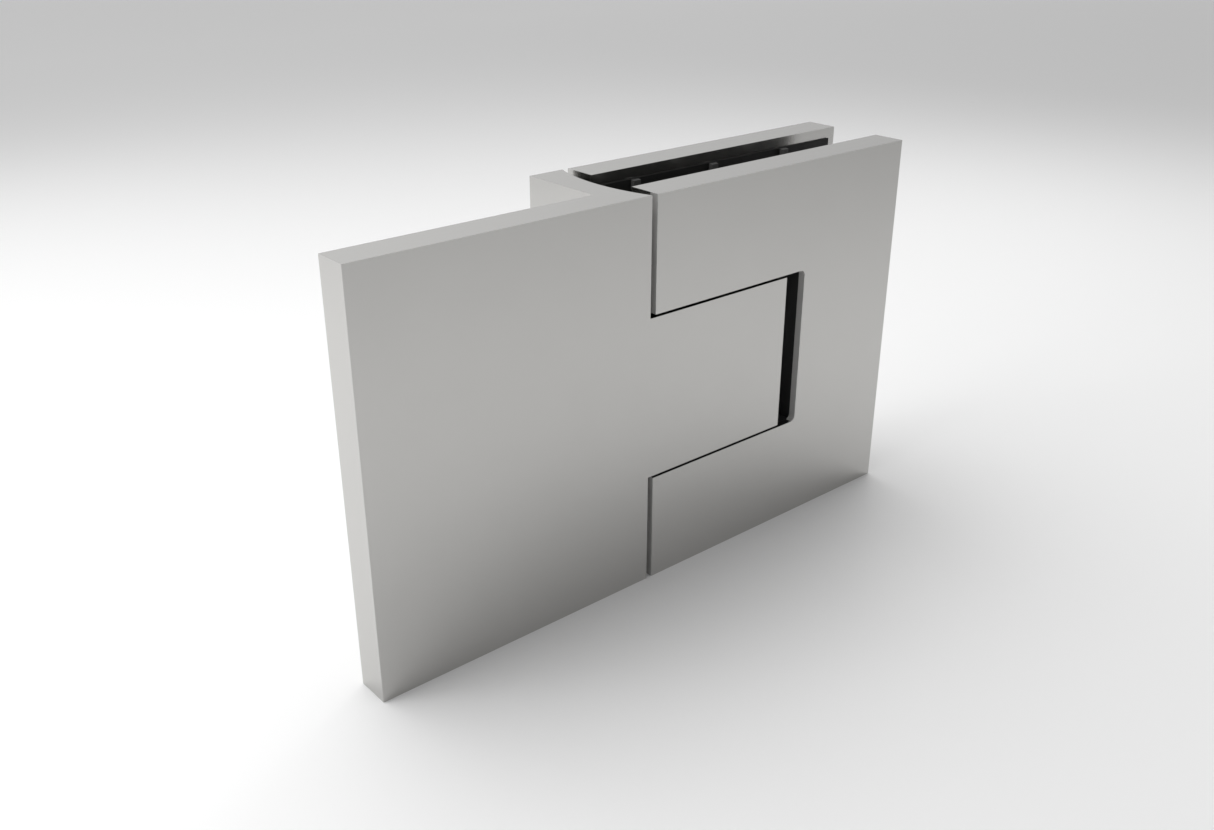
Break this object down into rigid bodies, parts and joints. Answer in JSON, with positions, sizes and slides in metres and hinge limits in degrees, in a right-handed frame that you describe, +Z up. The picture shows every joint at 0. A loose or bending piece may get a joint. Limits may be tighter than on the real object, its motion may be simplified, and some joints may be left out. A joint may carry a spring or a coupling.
{
  "type": "glass door hinge",
  "caption": "Double-acting glass door hinge: a milled post leaf with a tongue, and a notched clamp that grips a 12 mm pane and turns on a vertical pin.",
  "frame": {"origin": "middle of the underside of the whole hinge, closed (clamp in line with the leaf)", "axes": "+X from the leaf to the glass clamp, +Y from the flush front to the back, +Z up along the pivot pin"},
  "size_m": [0.1506, 0.029, 0.09],
  "materials": {
    "satin_steel": "fine satin",
    "pin_steel": "ground and hardened",
    "spring_steel": "blued spring strip",
    "screw_steel": "plain stainless",
    "black_housing": "black glass-filled moulding",
    "bush_bronze": "sintered bronze",
    "washer_acetal": "white acetal",
    "gasket_rubber": "black rubber sheet",
    "sleeve_nylon": "natural nylon"
  },
  "bodies": {
    "leaf": {"leaf": "satin_steel", "pivot_pin": "pin_steel", "pin_grub_screws": "screw_steel", "upper_thrust_washer": "washer_acetal", "lower_thrust_washer": "washer_acetal"},
    "clamp": {"front_plate": "satin_steel", "back_plate": "satin_steel", "bearing_housing": "black_housing", "upper_bush": "bush_bronze", "lower_bush": "bush_bronze", "upper_front_spring": "spring_steel", "upper_back_spring": "spring_steel", "lower_front_spring": "spring_steel", "lower_back_spring": "spring_steel", "upper_cap": "black_housing", "lower_cap": "black_housing", "front_gasket": "gasket_rubber", "back_gasket": "gasket_rubber", "clamp_screws": "screw_steel", "screw_sleeves": "sleeve_nylon"}
  },
  "joints": [
    {"name": "clamp_swing", "type": "hinge", "parent": "leaf", "child": "clamp", "pos_m": [0.0247, 0, 0.045], "axis": [0, 0, 1], "range_deg": [-90, 90], "deforming": ["upper_front_spring", "upper_back_spring", "lower_front_spring", "lower_back_spring"]}
  ]
}
